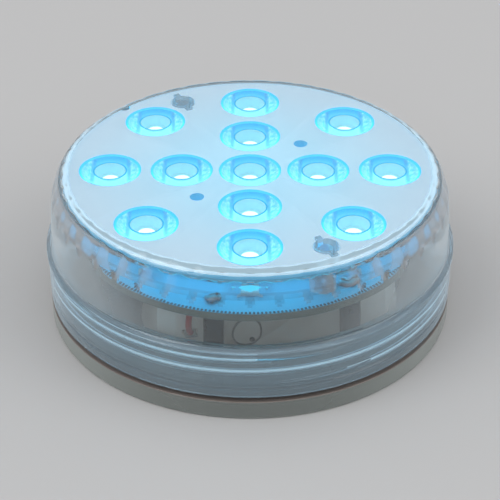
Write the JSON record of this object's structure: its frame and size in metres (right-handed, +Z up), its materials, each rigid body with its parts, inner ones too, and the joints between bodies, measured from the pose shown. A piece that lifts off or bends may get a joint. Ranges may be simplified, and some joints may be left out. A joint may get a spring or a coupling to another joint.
{
  "type": "underwater pool light",
  "caption": "Round battery-powered underwater pool light with a clear fluted head, lensed LEDs and a screw-on base cap.",
  "frame": {"origin": "centre of the base cap's underside, on the surface the light stands on", "axes": "+Z up along the light's axis; -Y is the front, as it is usually seen"},
  "size_m": [0.085, 0.085, 0.0324],
  "materials": {
    "clear_cover": "gloss moulded",
    "satin_reflector": "satin moulded",
    "clear_lens": "polished",
    "led_board": "solder mask",
    "led_package": "lit",
    "battery_holder": "moulded",
    "base_cap": "gloss moulded",
    "seal_rubber": "matte",
    "black_plastic": "moulded",
    "red_lead": "insulation",
    "black_lead": "insulation",
    "cell_sleeve": "printed film",
    "spring_steel": "nickel plated",
    "screw_steel": "zinc plated",
    "nickel_plate": "nickel plated"
  },
  "bodies": {
    "base": {"base_cap": "base_cap"},
    "seal": {"o_ring": "seal_rubber"},
    "light_head": {"top_cover": "clear_cover", "reflector_plate": "satin_reflector", "led_board": "led_board", "battery_holder": "battery_holder", "ir_receiver": "black_plastic", "control_chip": "black_plastic", "red_lead": "red_lead", "black_lead": "black_lead", "lens_01": "clear_lens", "lens_02": "clear_lens", "lens_03": "clear_lens", "lens_04": "clear_lens", "lens_05": "clear_lens", "lens_06": "clear_lens", "lens_07": "clear_lens", "lens_08": "clear_lens", "lens_09": "clear_lens", "lens_10": "clear_lens", "lens_11": "clear_lens", "lens_12": "clear_lens", "lens_13": "clear_lens", "led_01": "led_package", "led_02": "led_package", "led_03": "led_package", "led_04": "led_package", "led_05": "led_package", "led_06": "led_package", "led_07": "led_package", "led_08": "led_package", "led_09": "led_package", "led_10": "led_package", "led_11": "led_package", "led_12": "led_package", "led_13": "led_package", "battery_cell_1": "cell_sleeve", "battery_cell_2": "cell_sleeve", "battery_cell_3": "cell_sleeve", "contact_spring_1": "spring_steel", "contact_spring_2": "spring_steel", "contact_spring_3": "spring_steel", "board_screw_1": "screw_steel", "board_screw_2": "screw_steel", "board_screw_3": "screw_steel", "board_screw_4": "screw_steel", "cover_screw_1": "screw_steel", "cover_screw_2": "screw_steel", "positive_terminal": "nickel_plate", "contact_link_front": "nickel_plate", "negative_terminal": "nickel_plate", "contact_link_back": "nickel_plate"}
  },
  "joints": [
    {"name": "head_turn", "type": "hinge", "parent": "base", "child": "seal", "pos_m": [0, 0, 0], "axis": [0, 0, 1], "range_deg": [0, 900]},
    {"name": "head_lift", "type": "slide", "parent": "seal", "child": "light_head", "axis": [0, 0, 1], "range_m": [0, 0.00702]}
  ],
  "couplings": [
    {"joint": "head_lift", "follows": "head_turn", "m_per_rad": 0.00044563}
  ]
}
